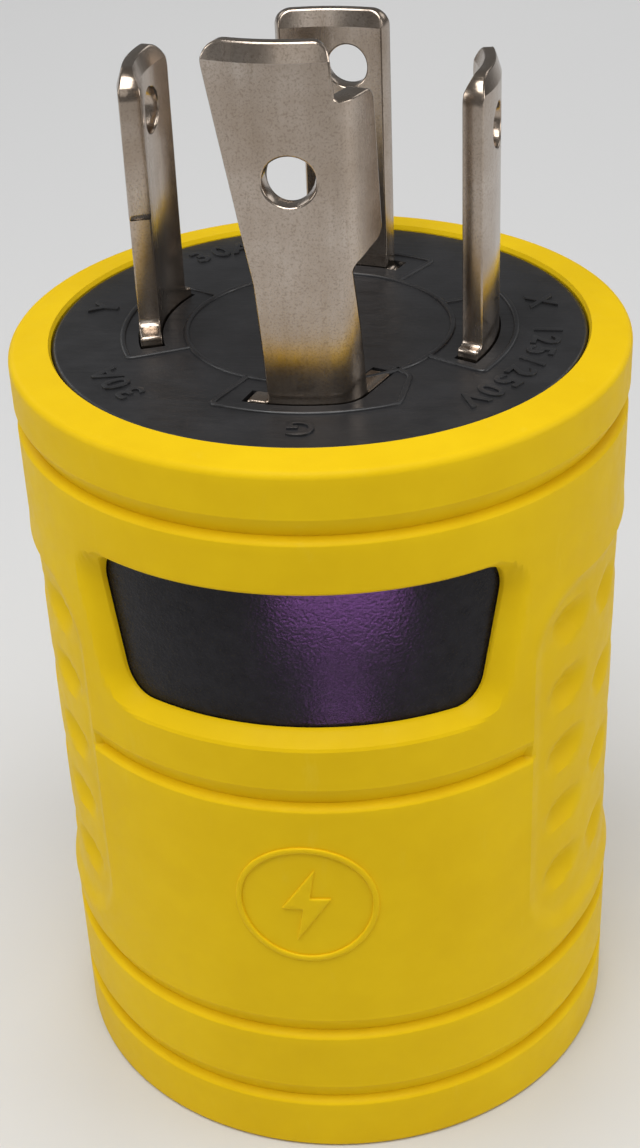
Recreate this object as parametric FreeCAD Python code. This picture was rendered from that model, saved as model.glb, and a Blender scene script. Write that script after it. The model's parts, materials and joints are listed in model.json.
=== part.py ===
# Compact power adapter: a four-blade 30 A locking plug on top, a 30 A travel-trailer
# receptacle underneath, in one round hand-held body.
#
# Frame: millimetres, +Z up along the body's axis.  The origin is the centre of the
# receptacle's flat face, on which the adapter stands.  The window faces -Y.
import FreeCAD, Part
import math
import os

Vector = FreeCAD.Vector
UP = Vector(0, 0, 1)
CENTRE = Vector(0, 0, 0)
os.makedirs("parts", exist_ok=True)

# --- driving dimensions -------------------------------------------------------------
body_height = 75.5
rim_radius = 28.0
base_radius = 27.6
front = -90.0                 # azimuth that the window faces, degrees

face_radius = 24.05           # the two black end faces inside the jacket's lips
face_depth = 3.6              # thickness of each end face's flange
spigot_radius = 23.4          # the part of each end face that enters the core
core_radius = 25.8
core_wall = 2.2
fit_gap = 0.1                 # gap between pieces that nest without moving

blade_circle = 15.2           # mean radius of the curved blades
blade_thickness = 1.9
plug_blade_reach = 24.4       # line and neutral blades, above the face
ground_blade_reach = 30.2
hook_height = 11.4            # underside of the locking hooks, above the face
blade_hole_radius = 1.95
ground_hole_radius = 2.07
blade_hole_height = 19.3
blade_root = 56.0             # underside of the blades' inner tabs
tab_thickness = 1.9
terminal_screw_radius = 1.9
screw_hole_radius = 2.1       # in the tabs, lugs and contact plates
pilot_radius = 1.95           # in the carriers

slot_length = 10.2            # receptacle slots for the flat blades
slot_width = 2.3
slot_offset = Vector(8.7, 5.5, 0)
ground_socket_radius = 3.6
ground_offset = Vector(0, -8.5, 0)
socket_depth = 9.0            # receptacle face and spigot together

leaf_thickness = 0.8
leaf_top = 25.6
leaf_bottom = 9.7
contact_deck = 26.0           # top of the contact carrier, under the contact plates
plate_thickness = 1.4
lug_thickness = 1.0
barrel_length = 4.5
barrel_radius = 2.2
wire_radius = 1.3

# --- values worked out from them ----------------------------------------------------
plug_face_top = body_height - 0.3
shell_top = plug_face_top - face_depth + 0.2
shell_bottom = face_depth + 0.1
jacket_bore = core_radius + fit_gap
core_bore = core_radius - core_wall
carrier_radius = core_bore - 0.3
blade_inner = blade_circle - blade_thickness / 2
blade_outer = blade_circle + blade_thickness / 2
hook_level = plug_face_top + hook_height
blade_hole_level = plug_face_top + blade_hole_height
plug_spigot_bottom = shell_top - 4.9
blade_carrier_bottom = blade_root + tab_thickness
contact_plate_top = contact_deck + plate_thickness
contact_barrel_top = contact_plate_top + lug_thickness + barrel_length
blade_barrel_bottom = blade_root - lug_thickness - barrel_length


def save(name, *solids):
    shape = solids[0] if len(solids) == 1 else Part.makeCompound(list(solids))
    shape.exportStep("parts/" + name + ".step")


def polar(radius, azimuth, z=0.0):
    angle = math.radians(azimuth)
    return Vector(radius * math.cos(angle), radius * math.sin(angle), z)


def turned(shape, azimuth, pivot=CENTRE):
    copy = shape.copy()
    copy.rotate(pivot, UP, azimuth)
    return copy


def moved(shape, place, azimuth=0.0):
    """The shape turned about the Z axis, then carried to a place."""
    copy = turned(shape, azimuth)
    copy.translate(place)
    return copy


def cylinder(radius, bottom, top, place=CENTRE):
    return Part.makeCylinder(radius, top - bottom, Vector(place.x, place.y, bottom))


def bar(x0, x1, y0, y1, z0, z1):
    return Part.makeBox(x1 - x0, y1 - y0, z1 - z0, Vector(x0, y0, z0))


def side_pin(radius, x0, x1, y, z):
    """A cylinder lying along X."""
    return Part.makeCylinder(radius, x1 - x0, Vector(x0, y, z), Vector(1, 0, 0))


def polygon_face(points):
    return Part.Face(Part.makePolygon(points + [points[0]]))


def spin(profile, start=0.0, sweep=360.0, place=CENTRE):
    """Turn a closed (radius, z) profile about a vertical axis through a place."""
    face = polygon_face([Vector(radius, 0, z) for radius, z in profile])
    solid = turned(face, start).revolve(CENTRE, UP, sweep)
    solid.translate(place)
    return solid


def tube(outer, inner, bottom, top, start=0.0, sweep=360.0, place=CENTRE):
    profile = [(inner, bottom), (outer, bottom), (outer, top), (inner, top)]
    return spin(profile, start, sweep, place)


def rounded_edges(solid, radius, wanted):
    edges = [edge for edge in solid.Edges if wanted(edge)]
    return solid.makeFillet(radius, edges)


def circle_at(z, radius):
    """A test for the circular edge of a body of revolution."""
    def wanted(edge):
        box = edge.BoundBox
        flat = box.ZLength < 1e-4 and abs(box.ZMin - z) < 1e-4
        return flat and abs(box.XMax - radius) < 1e-3
    return wanted


# --- outer jacket -------------------------------------------------------------------
groove_depth = 0.9
groove_flank = 1.95                       # long face above each groove's deepest line
groove_lip = 0.65                         # short rounded-looking face below it
ring_grooves = [6.15, 14.8, 68.93]        # deepest lines of the grooves that run all round
front_groove = 41.9
grip_edge = 48.0                          # degrees from the front to each grip's edge
grip_bottom = 19.4
grip_top = 57.0
window_top = 63.6
window_bottom = 49.3
window_half_top = 18.7
window_half_bottom = 16.4
window_corner = 2.6
rim_rounding = 0.7
rim_slope = 0.35                          # how far the rim falls toward its outer edge
foot_rounding = 0.5
dimple_length = 3.4
dimple_radius = 2.6
dimple_depth = 0.9


def jacket_radius(z):
    return base_radius + (rim_radius - base_radius) * z / body_height


def groove_profile(z):
    """A groove with a long upper flank and a short lower lip, from below upward."""
    outside = jacket_radius(z) + 1
    lip, flank = z - groove_lip, z + groove_flank
    return [
        (outside, lip), (jacket_radius(lip), lip), (jacket_radius(z) - groove_depth, z),
        (jacket_radius(flank), flank), (outside, flank),
    ]


def dimple():
    """A lying capsule that presses one finger dimple into the jacket, facing +X."""
    reach = rim_radius + dimple_radius - dimple_depth
    half = dimple_length / 2
    body = Part.makeCylinder(dimple_radius, dimple_length, Vector(reach, -half, 0), Vector(0, 1, 0))
    ends = [Part.makeSphere(dimple_radius, Vector(reach, side * half, 0)) for side in (-1, 1)]
    return body.fuse(ends)


def dimple_places():
    """Azimuth and height of each dimple: five columns on each side, alike front and rear."""
    columns = [(57.4, 25.7, 7.0, 5), (74.0, 25.6, 9.1, 4), (90.0, 28.0, 8.1, 4),
               (106.0, 25.6, 9.1, 4), (122.6, 25.7, 7.0, 5)]
    for turn, lowest, pitch, count in columns:
        for step in range(count):
            for hand in (-1, 1):
                yield front + hand * turn, lowest + pitch * step


def window_cutter():
    outline = [
        Vector(-window_half_top, 0, window_top), Vector(window_half_top, 0, window_top),
        Vector(window_half_bottom, 0, window_bottom), Vector(-window_half_bottom, 0, window_bottom),
    ]
    prism = polygon_face(outline).extrude(Vector(0, -rim_radius - 5, 0))
    corner_edges = [edge for edge in prism.Edges if edge.BoundBox.YLength > rim_radius]
    return prism.makeFillet(window_corner, corner_edges)


def outer_jacket():
    lip_bore = face_radius + fit_gap
    rim_edge = body_height - rim_slope
    wall = [
        (lip_bore, 0), (base_radius, 0), (rim_radius, rim_edge), (lip_bore, body_height),
        (lip_bore, shell_top + fit_gap), (jacket_bore, shell_top + fit_gap),
        (jacket_bore, shell_bottom - fit_gap), (lip_bore, shell_bottom - fit_gap),
    ]
    jacket = spin(wall)
    jacket = rounded_edges(jacket, rim_rounding, circle_at(rim_edge, rim_radius))
    jacket = rounded_edges(jacket, foot_rounding, circle_at(0, base_radius))
    cuts = [spin(groove_profile(z)) for z in ring_grooves]
    for side in (front, front + 180):
        cuts.append(spin(groove_profile(front_groove), side - grip_edge, 2 * grip_edge))
    cuts.append(window_cutter())
    for azimuth, z in dimple_places():
        press = dimple()
        press.translate(Vector(0, 0, z))
        cuts.append(turned(press, azimuth))
    for cut in cuts:
        jacket = jacket.cut(cut)
    return jacket


save("outer_jacket", outer_jacket())

# --- core shells --------------------------------------------------------------------
split_gap = 0.05                          # half the gap at the shells' joint


def core_shell(azimuth):
    """Half of the black core, its middle at the azimuth."""
    half = tube(core_radius, core_bore, shell_bottom, shell_top, azimuth - 90, 180)
    trim = bar(-core_radius, split_gap, -core_radius, core_radius, 0, body_height)
    return half.cut(turned(trim, azimuth))


save("core_shell_front", core_shell(front))
save("core_shell_rear", core_shell(front + 180))

# --- plug blades --------------------------------------------------------------------
# A blade's azimuths run counter-clockwise from its own facing direction, in degrees.
shank_end = 9.5
hook_end = 17.5
foot_end = 18.5
blade_middle = -7.35                      # azimuth of the hole and of the tab
blade_corner = 2.4                        # rounding of the two corners at the tip
tip_length = 1.5
tip_half_thickness = 0.45
plug_blades = {                           # facing, start of shank, start of foot, shoulder height
    "blade_line_x": (0.0, -23.6, -27.2, plug_face_top + 0.9),
    "blade_neutral": (90.0, -20.9, -23.9, plug_face_top - 0.4),
    "blade_line_y": (180.0, -23.6, -27.2, plug_face_top + 0.9),
}
ground_foot_start = -16.5
ground_blade_start = -28.0                # widest reach of the slanted side
ground_bend_start = 11.5
ground_bend_turn = 54.5
ground_bend_radius = 2.0
ground_flap_length = 3.75
ground_foot_flap = 4.6                    # the fold is longer inside its slot
ground_shoulder = plug_face_top + 0.15
ground_fold_top = 25.6
ground_tab_azimuth = -3.0
tab_width = 7.4
tab_start = 6.8
screw_circle = 10.0                       # where the screws hold the blades' tabs


def blade_profile(bottom, top):
    """The blade's cross-section, thinned at its tip."""
    neck = top - tip_length
    return [
        (blade_inner, bottom), (blade_outer, bottom), (blade_outer, neck),
        (blade_circle + tip_half_thickness, top), (blade_circle - tip_half_thickness, top),
        (blade_inner, neck),
    ]


def blade_strip(start, end, bottom, top):
    return tube(blade_outer, blade_inner, bottom, top, start, end - start)


def rounded_outline(left, right, top, corner):
    """A plate across the blade that trims its two top corners; the blade faces +X."""
    low = hook_level - 1
    lean = corner * (1 - math.sqrt(0.5))
    edges = [
        Part.LineSegment(Vector(0, left, low), Vector(0, left, top - corner)),
        Part.Arc(Vector(0, left, top - corner), Vector(0, left + lean, top - lean),
                 Vector(0, left + corner, top)),
        Part.LineSegment(Vector(0, left + corner, top), Vector(0, right - corner, top)),
        Part.Arc(Vector(0, right - corner, top), Vector(0, right - lean, top - lean),
                 Vector(0, right, top - corner)),
        Part.LineSegment(Vector(0, right, top - corner), Vector(0, right, low)),
        Part.LineSegment(Vector(0, right, low), Vector(0, left, low)),
    ]
    wire = Part.Wire([edge.toShape() for edge in edges])
    return Part.Face(wire).extrude(Vector(blade_outer + 3, 0, 0))


def blade_tab(middle):
    """The inner tab at the blade's root with its screw hole; its middle is at an azimuth."""
    half = tab_width / 2
    top = blade_root + tab_thickness
    tab = bar(tab_start, blade_circle, -half, half, blade_root, top)
    hole = cylinder(screw_hole_radius, blade_root - 1, top + 1, polar(screw_circle, 0))
    return turned(tab.cut(hole), middle)


def blade_hole(middle, radius):
    """The cutter for the round hole near the blade's tip."""
    return turned(side_pin(radius, blade_inner - 3, blade_outer + 3, 0, blade_hole_level), middle)


def plug_blade(start, foot_start, shoulder):
    """A line or neutral blade, facing +X."""
    top = plug_face_top + plug_blade_reach
    head = spin(blade_profile(hook_level, top), start, hook_end - start)
    left = blade_outer * math.sin(math.radians(start)) - 0.1
    right = blade_outer * math.sin(math.radians(hook_end)) + 0.1
    head = head.common(rounded_outline(left, right, top, blade_corner))
    shank = blade_strip(start, shank_end, shoulder, hook_level)
    foot = blade_strip(foot_start, foot_end, blade_root, shoulder)
    blade = foot.fuse([shank, head, blade_tab(blade_middle)])
    return blade.cut(blade_hole(blade_middle, blade_hole_radius)).removeSplitter()


def bend_centre():
    return polar(blade_circle - ground_bend_radius, ground_bend_start)


def ground_bend(turn, bottom, top, margin=0.0):
    half = blade_thickness / 2 + margin
    radius = ground_bend_radius
    return tube(radius + half, radius - half, bottom, top, ground_bend_start, turn, bend_centre())


def ground_flap(length, bottom, top, margin=0.0):
    """The straight end of the ground blade, folded in toward the axis."""
    half = blade_thickness / 2 + margin
    radius = ground_bend_radius
    flap = bar(radius - half, radius + half, -0.01, length, bottom, top)
    return moved(flap, bend_centre(), ground_bend_start + ground_bend_turn)


def ground_outline():
    """The ground blade as it is stamped: slanted sides, a lower fold and its hook.  Faces +X."""
    top = plug_face_top + ground_blade_reach
    fold = plug_face_top + ground_fold_top
    shoulder = plug_face_top + 17.5

    def at(across, z):
        return Vector(0, across, z)

    edges = [
        Part.LineSegment(at(-2.6, ground_shoulder), at(-3.35, hook_level - 1)),
        Part.LineSegment(at(-3.35, hook_level - 1), at(-4.65, shoulder)),
        Part.LineSegment(at(-4.65, shoulder), at(-6.9, top - 2.3)),
        Part.Arc(at(-6.9, top - 2.3), at(-6.6, top - 0.7), at(-5.0, top)),
        Part.LineSegment(at(-5.0, top), at(2.3, top)),
        Part.Arc(at(2.3, top), at(3.1, top - 0.3), at(3.4, top - 1.1)),
        Part.LineSegment(at(3.4, top - 1.1), at(3.8, fold)),
        Part.LineSegment(at(3.8, fold), at(5.6, fold)),
        Part.Arc(at(5.6, fold), at(6.2, fold - 0.3), at(6.5, fold - 1.0)),
        Part.LineSegment(at(6.5, fold - 1.0), at(6.9, hook_level + 2.2)),
        Part.Arc(at(6.9, hook_level + 2.2), at(6.75, hook_level + 1.6), at(6.3, hook_level + 1.2)),
        Part.LineSegment(at(6.3, hook_level + 1.2), at(4.8, hook_level + 0.5)),
        Part.LineSegment(at(4.8, hook_level + 0.5), at(5.5, ground_shoulder)),
        Part.LineSegment(at(5.5, ground_shoulder), at(-2.6, ground_shoulder)),
    ]
    wire = Part.Wire([edge.toShape() for edge in edges])
    return Part.Face(wire).extrude(Vector(blade_outer + 3, 0, 0))


def ground_blade():
    """The taller ground blade with its inward fold, facing +X."""
    top = plug_face_top + ground_blade_reach
    low = ground_shoulder - 1
    wide = spin(blade_profile(low, top), ground_blade_start, ground_bend_start - ground_blade_start)
    blade = wide.fuse([ground_bend(ground_bend_turn, low, top),
                       ground_flap(ground_flap_length, hook_level, top)])
    blade = blade.common(ground_outline())
    foot = blade_strip(ground_foot_start, ground_bend_start, blade_root, ground_shoulder)
    foot = foot.fuse([ground_bend(ground_bend_turn, blade_root, ground_shoulder),
                      ground_flap(ground_foot_flap, blade_root, ground_shoulder)])
    blade = foot.fuse([blade, blade_tab(ground_tab_azimuth)])
    return blade.cut(blade_hole(0, ground_hole_radius)).removeSplitter()


for name, (facing, *widths) in plug_blades.items():
    save(name, turned(plug_blade(*widths), facing))
save("blade_ground", turned(ground_blade(), front))

# --- plug face and blade carrier ----------------------------------------------------
slot_play = 0.15


def plug_slots(bottom, top, extra):
    """Cutters for the four blade slots; extra widens each slot's ends, in degrees."""
    inner, outer = blade_inner - slot_play, blade_outer + slot_play
    cutters = []
    for facing, _, foot_start, _ in plug_blades.values():
        start = facing + foot_start - extra
        cutters.append(tube(outer, inner, bottom, top, start, facing + foot_end + extra - start))
    ground_start = ground_foot_start - extra
    ground = tube(outer, inner, bottom, top, ground_start, ground_bend_start - ground_start)
    ground = ground.fuse([ground_bend(ground_bend_turn, bottom, top, slot_play),
                          ground_flap(ground_foot_flap + 0.5, bottom, top, slot_play)])
    cutters.append(turned(ground, front))
    return cutters


def plug_face():
    face = cylinder(face_radius, shell_top, plug_face_top)
    face = rounded_edges(face, 0.4, circle_at(plug_face_top, face_radius))
    face = face.fuse(cylinder(spigot_radius, plug_spigot_bottom, shell_top))
    return face.cut(plug_slots(plug_spigot_bottom - 1, plug_face_top + 1, 1.2))


def tab_places():
    """Where the four screws hold the blades' tabs, as blade name and place."""
    places = {name: polar(screw_circle, facing + blade_middle)
              for name, (facing, *_) in plug_blades.items()}
    places["blade_ground"] = polar(screw_circle, front + ground_tab_azimuth)
    return places


assembly_circle = 20.0
assembly_azimuths = [90.0, -35.0, 215.0]
assembly_screw_radius = 1.75
assembly_screw_top = 63.0
blade_screw_tip = 63.5


def blade_carrier():
    carrier = cylinder(carrier_radius, blade_carrier_bottom, plug_spigot_bottom)
    cuts = plug_slots(blade_carrier_bottom - 1, plug_spigot_bottom + 1, 0.6)
    for place in tab_places().values():
        cuts.append(cylinder(pilot_radius, blade_carrier_bottom - 1, blade_screw_tip + 0.5, place))
    for azimuth in assembly_azimuths:
        cuts.append(cylinder(assembly_screw_radius + 0.05, blade_carrier_bottom - 1,
                             assembly_screw_top + 0.5, polar(assembly_circle, azimuth)))
    return carrier.cut(cuts)


save("plug_face", plug_face())
save("blade_carrier", blade_carrier())

# --- receptacle face ----------------------------------------------------------------
screw_head_radius = 3.0
counterbore_depth = 3.3
contact_places = {                        # place and turn of each contact
    "line": (slot_offset, 45.0),
    "neutral": (Vector(-slot_offset.x, slot_offset.y, 0), -45.0),
    "ground": (ground_offset, 0.0),
}


def receptacle_face():
    face = cylinder(face_radius, 0, shell_bottom)
    face = rounded_edges(face, 0.4, circle_at(0, face_radius))
    face = face.fuse(cylinder(spigot_radius, shell_bottom, socket_depth))
    slot = bar(-slot_width / 2, slot_width / 2, -slot_length / 2, slot_length / 2, -1, socket_depth + 1)
    cuts = [moved(slot, *contact_places["line"]), moved(slot, *contact_places["neutral"])]
    cuts.append(cylinder(ground_socket_radius, -1, socket_depth + 1, ground_offset))
    for azimuth in assembly_azimuths:
        place = polar(assembly_circle, azimuth)
        cuts.append(cylinder(screw_head_radius + 0.2, -1, counterbore_depth, place))
        cuts.append(cylinder(assembly_screw_radius + 0.15, 0, socket_depth + 1, place))
    return face.cut(cuts)


save("receptacle_face", receptacle_face())

# --- contacts -----------------------------------------------------------------------
# A contact is drawn with its leaves facing +X and -X and its screw toward -Y.
leaf_gap = 0.7                            # from the blade's middle plane to a leaf
web_half = 0.65
leaf_width = 8.0
ground_leaf_inner = 3.3
contact_screw_reach = 9.0
plate_half = 2.8
plate_eye_radius = 3.5
cavity_half_width = 3.4
cavity_half_length = 4.9
ground_cavity_radius = 5.6
contact_screw_tip = 20.0
web_bottom = 20.0
rivet_level = 22.6
rivet_radius = 1.0
rivet_head_radius = 1.6
rivet_head_gap = 0.3
screw_place = Vector(0, -contact_screw_reach, 0)


def contact_plate():
    far = cavity_half_length + 1.9
    plate = bar(-plate_half, plate_half, -contact_screw_reach, far, contact_deck, contact_plate_top)
    plate = plate.fuse(cylinder(plate_eye_radius, contact_deck, contact_plate_top, screw_place))
    return plate.cut(cylinder(screw_hole_radius, contact_deck - 1, contact_plate_top + 1, screw_place))


def rivet_spots():
    return [-2.2, 2.2]


def flat_contact_base():
    web = bar(-web_half, web_half, -leaf_width / 2, leaf_width / 2, web_bottom, contact_deck)
    base = contact_plate().fuse(web)
    holes = [side_pin(rivet_radius, -2, 2, y, rivet_level) for y in rivet_spots()]
    return base.cut(holes)


def ground_contact_base():
    stem = cylinder(ground_leaf_inner - 0.1, web_bottom, contact_deck)
    return contact_plate().fuse(stem).cut(side_pin(rivet_radius, -6, 6, 0, rivet_level))


def flat_leaf():
    """The leaf on the +X side: a straight spring with a flared mouth at its lower end."""
    inside, outside = leaf_gap, leaf_gap + leaf_thickness
    profile = [
        Vector(inside, 0, leaf_top), Vector(outside, 0, leaf_top), Vector(outside, 0, 12.5),
        Vector(outside + 0.8, 0, 10.1), Vector(outside + 0.1, 0, leaf_bottom), Vector(inside, 0, 12.3),
    ]
    leaf = polygon_face(profile).extrude(Vector(0, leaf_width, 0))
    leaf.translate(Vector(0, -leaf_width / 2, 0))
    return leaf.cut([side_pin(rivet_radius + 0.35, 0, 4, y, rivet_level) for y in rivet_spots()])


def ground_leaf():
    """The curved leaf on the +X side of the round ground contact."""
    outer = ground_leaf_inner + leaf_thickness
    leaf = tube(outer, ground_leaf_inner, leaf_bottom, leaf_top, -70, 140)
    return leaf.cut(side_pin(rivet_radius + 0.4, 0, 6, 0, rivet_level))


def rivet(face_distance, y):
    """A rivet through both leaves, its heads just clear of them."""
    head_inner = face_distance + rivet_head_gap
    head_outer = head_inner + 0.6
    shank = side_pin(rivet_radius, -head_inner, head_inner, y, rivet_level)
    heads = [side_pin(rivet_head_radius, head_inner, head_outer, y, rivet_level),
             side_pin(rivet_head_radius, -head_outer, -head_inner, y, rivet_level)]
    return shank.fuse(heads).removeSplitter()


rivets = []
for name, (place, turn) in contact_places.items():
    flat = name != "ground"
    base = flat_contact_base() if flat else ground_contact_base()
    leaf = flat_leaf() if flat else ground_leaf()
    outside = (leaf_gap if flat else ground_leaf_inner) + leaf_thickness
    spots = rivet_spots() if flat else [0.0]
    save("contact_base_" + name, moved(base, place, turn))
    save("contact_leaf_" + name + "_a", moved(leaf, place, turn))
    save("contact_leaf_" + name + "_b", moved(leaf, place, turn + 180))
    rivets += [moved(rivet(outside, y), place, turn) for y in spots]
save("contact_rivets", *rivets)


def contact_screw_places():
    return {name: place + turned(Part.Vertex(screw_place), turn).Point
            for name, (place, turn) in contact_places.items()}


def contact_carrier():
    carrier = cylinder(carrier_radius, socket_depth, contact_deck)
    cuts = []
    flat_cavity = bar(-cavity_half_width, cavity_half_width, -cavity_half_length, cavity_half_length,
                      socket_depth - 1, contact_deck + 1)
    for name, (place, turn) in contact_places.items():
        round_cavity = cylinder(ground_cavity_radius, socket_depth - 1, contact_deck + 1)
        cuts.append(moved(round_cavity if name == "ground" else flat_cavity, place, turn))
    for place in contact_screw_places().values():
        cuts.append(cylinder(pilot_radius, contact_screw_tip - 0.5, contact_deck + 1, place))
    for azimuth in assembly_azimuths:
        cuts.append(cylinder(assembly_screw_radius + 0.15, socket_depth - 1, contact_deck + 1,
                             polar(assembly_circle, azimuth)))
    return carrier.cut(cuts)


save("contact_carrier", contact_carrier())

# --- leads and their lugs -----------------------------------------------------------
# Each lead joins a blade's lug to a contact's lug: where its two crimp barrels stand.
leads = {
    "line": ("blade_line_x", Vector(14.5, 3.5, 0), Vector(8.6, -0.6, 0)),
    "neutral": ("blade_neutral", Vector(-4.5, 7.5, 0), Vector(-12.0, 4.9, 0)),
    "ground": ("blade_ground", Vector(-6.0, -13.5, 0), Vector(0.0, -11.0, 0)),
}
lug_eye_radius = 3.4
insulation_bore = wire_radius + 0.05
insulation_margin = 0.5                   # bare wire between a barrel and the insulation


def lug(screw, barrel, plate_bottom, barrel_up):
    """A ring terminal under a screw, its crimp barrel standing up or hanging down."""
    top = plate_bottom + lug_thickness
    reach = barrel - screw
    azimuth = math.degrees(math.atan2(reach.y, reach.x))
    tail = bar(0, reach.Length, -barrel_radius, barrel_radius, plate_bottom, top)
    plate = moved(tail, Vector(screw.x, screw.y, 0), azimuth)
    plate = plate.fuse([cylinder(lug_eye_radius, plate_bottom, top, screw),
                        cylinder(barrel_radius, plate_bottom, top, barrel)])
    plate = plate.cut(cylinder(screw_hole_radius, plate_bottom - 1, top + 1, screw))
    start = top if barrel_up else plate_bottom - barrel_length
    crimp = tube(barrel_radius, wire_radius + 0.1, start, start + barrel_length, place=barrel)
    return plate.fuse(crimp)


def s_curve(upper, lower):
    """The curved middle of a lead, upright at both ends."""
    rise = Vector(0, 0, (upper.z - lower.z) / 2)
    curve = Part.BezierCurve()
    curve.setPoles([upper, upper - rise, lower + rise, lower])
    return curve.toShape()


def swept(path, radius):
    start = path.Vertexes[0].Point
    circle = Part.Wire(Part.makeCircle(radius, start, UP))
    return path.makePipeShell([circle], True, False)


def lead_path(upper_place, lower_place, with_ends):
    upper = Vector(upper_place.x, upper_place.y, blade_barrel_bottom - insulation_margin)
    lower = Vector(lower_place.x, lower_place.y, contact_barrel_top + insulation_margin)
    edges = [s_curve(upper, lower)]
    if with_ends:
        into_crimp = Vector(0, 0, barrel_length)
        edges.insert(0, Part.makeLine(upper + into_crimp, upper))
        edges.append(Part.makeLine(lower, lower - into_crimp))
    return Part.Wire(edges)


blade_lugs = []
contact_lugs = []
for name, (blade, upper_place, lower_place) in leads.items():
    covered = lead_path(upper_place, lower_place, False)
    cover = swept(covered, barrel_radius).cut(swept(covered, insulation_bore))
    save("lead_" + name + "_insulation", cover)
    save("lead_" + name + "_conductor", swept(lead_path(upper_place, lower_place, True), wire_radius))
    blade_lugs.append(lug(tab_places()[blade], upper_place, blade_root - lug_thickness, False))
    contact_lugs.append(lug(contact_screw_places()[name], lower_place, contact_plate_top, True))
save("blade_lugs", *blade_lugs)
save("contact_lugs", *contact_lugs)

# --- screws -------------------------------------------------------------------------
terminal_head = 2.2


def screw(place, head_bottom, head_top, tip, radius, head_radius):
    """A pan-head screw with a cross recess; it points away from its head."""
    head_down = tip > head_top
    under_head = head_top if head_down else head_bottom
    low, high = min(under_head, tip), max(under_head, tip)
    body = cylinder(head_radius, head_bottom, head_top, place).fuse(cylinder(radius, low, high, place))
    drive_bottom = head_bottom - 1 if head_down else head_top - 1.2
    cross = bar(-1.7, 1.7, -0.35, 0.35, drive_bottom, drive_bottom + 2.2)
    drive = cross.fuse(turned(cross, 90))
    return body.cut(moved(drive, Vector(place.x, place.y, 0))).removeSplitter()


blade_screws = []
for name, place in tab_places().items():
    under = blade_root if name == "blade_line_y" else blade_root - lug_thickness
    blade_screws.append(screw(place, under - terminal_head, under, blade_screw_tip,
                              terminal_screw_radius, screw_head_radius))
save("blade_screws", *blade_screws)

contact_head = contact_plate_top + lug_thickness
save("contact_screws", *[
    screw(place, contact_head, contact_head + terminal_head, contact_screw_tip,
          terminal_screw_radius, screw_head_radius)
    for place in contact_screw_places().values()])

save("assembly_screws", *[
    screw(polar(assembly_circle, azimuth), counterbore_depth - 2.5, counterbore_depth,
          assembly_screw_top, assembly_screw_radius, screw_head_radius)
    for azimuth in assembly_azimuths])
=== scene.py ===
"""Looks of the compact power adapter: yellow jacket, black core and faces, nickel blades.

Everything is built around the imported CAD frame.  Meshes are worked out in millimetres and
written in metres.  The window faces -Y, and azimuths on the jacket count from there.
"""

import json
import math

import bmesh
import bpy
import numpy as np
from mathutils import Matrix, Vector


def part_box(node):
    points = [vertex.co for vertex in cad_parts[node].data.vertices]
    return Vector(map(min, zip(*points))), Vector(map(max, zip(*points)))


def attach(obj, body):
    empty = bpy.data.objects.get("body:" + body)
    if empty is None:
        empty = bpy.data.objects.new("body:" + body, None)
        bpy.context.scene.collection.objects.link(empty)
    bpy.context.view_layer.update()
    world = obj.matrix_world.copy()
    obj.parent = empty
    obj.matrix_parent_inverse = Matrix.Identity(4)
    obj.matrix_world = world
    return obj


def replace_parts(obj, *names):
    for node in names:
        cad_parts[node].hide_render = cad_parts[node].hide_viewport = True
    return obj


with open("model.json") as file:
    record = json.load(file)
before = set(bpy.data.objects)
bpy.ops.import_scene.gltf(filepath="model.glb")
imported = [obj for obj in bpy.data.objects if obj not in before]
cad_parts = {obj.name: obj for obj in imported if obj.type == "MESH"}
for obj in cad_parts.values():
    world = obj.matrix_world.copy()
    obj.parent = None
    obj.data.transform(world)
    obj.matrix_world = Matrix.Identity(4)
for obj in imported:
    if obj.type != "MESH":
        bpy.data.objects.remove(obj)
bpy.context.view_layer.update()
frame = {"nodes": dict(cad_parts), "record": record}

BODY = "adapter_body"
MM = 0.001
FRONT = math.radians(-90)


def corner_mm(node, which):
    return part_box(node)[which] / MM


# --- sizes read from the frame, in millimetres --------------------------------------
rim_radius = corner_mm("outer_jacket", 1).x
body_height = corner_mm("outer_jacket", 1).z
face_top = corner_mm("plug_face", 1).z
face_radius = corner_mm("plug_face", 1).x
core_radius = corner_mm("core_shell_rear", 1).x
core_top = corner_mm("core_shell_rear", 1).z
core_bottom = corner_mm("core_shell_rear", 0).z
base_radius = rim_radius - 0.4
bore_radius = core_radius + 0.1
lip_bore = face_radius + 0.1


# --- mesh helpers -------------------------------------------------------------------
def shade_smooth(mesh):
    mesh.polygons.foreach_set("use_smooth", [True] * len(mesh.polygons))


def add_mesh(name, points, faces, slot, crease):
    """A smooth-shaded mesh piece from millimetre points, creased at angles over so many degrees."""
    mesh = bpy.data.meshes.new(name)
    mesh.from_pydata([tuple(p) for p in np.asarray(points) * MM], [], faces)
    shade_smooth(mesh)
    mesh.set_sharp_from_angle(angle=math.radians(crease))
    return add_piece(name, mesh, slot)


def add_piece(name, mesh, slot):
    """A new object for a mesh in metres, riding on the body in its slot's material."""
    piece = bpy.data.objects.new(name, mesh)
    bpy.context.scene.collection.objects.link(piece)
    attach(piece, BODY)
    mesh.materials.clear()
    mesh.materials.append(materials[slot])
    return piece


def work_mesh(name, work):
    """A mesh in metres from an editable mesh in millimetres, which is then freed."""
    mesh = bpy.data.meshes.new(name)
    work.to_mesh(mesh)
    work.free()
    mesh.transform(Matrix.Scale(MM, 4))
    return mesh


def curve_mesh(curve):
    """The filled mesh of a curve or text, which is then removed."""
    holder = bpy.data.objects.new(curve.name, curve)
    bpy.context.scene.collection.objects.link(holder)
    view = bpy.context.evaluated_depsgraph_get()
    mesh = bpy.data.meshes.new_from_object(holder.evaluated_get(view))
    bpy.data.objects.remove(holder)
    bpy.data.curves.remove(curve)
    return mesh


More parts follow.
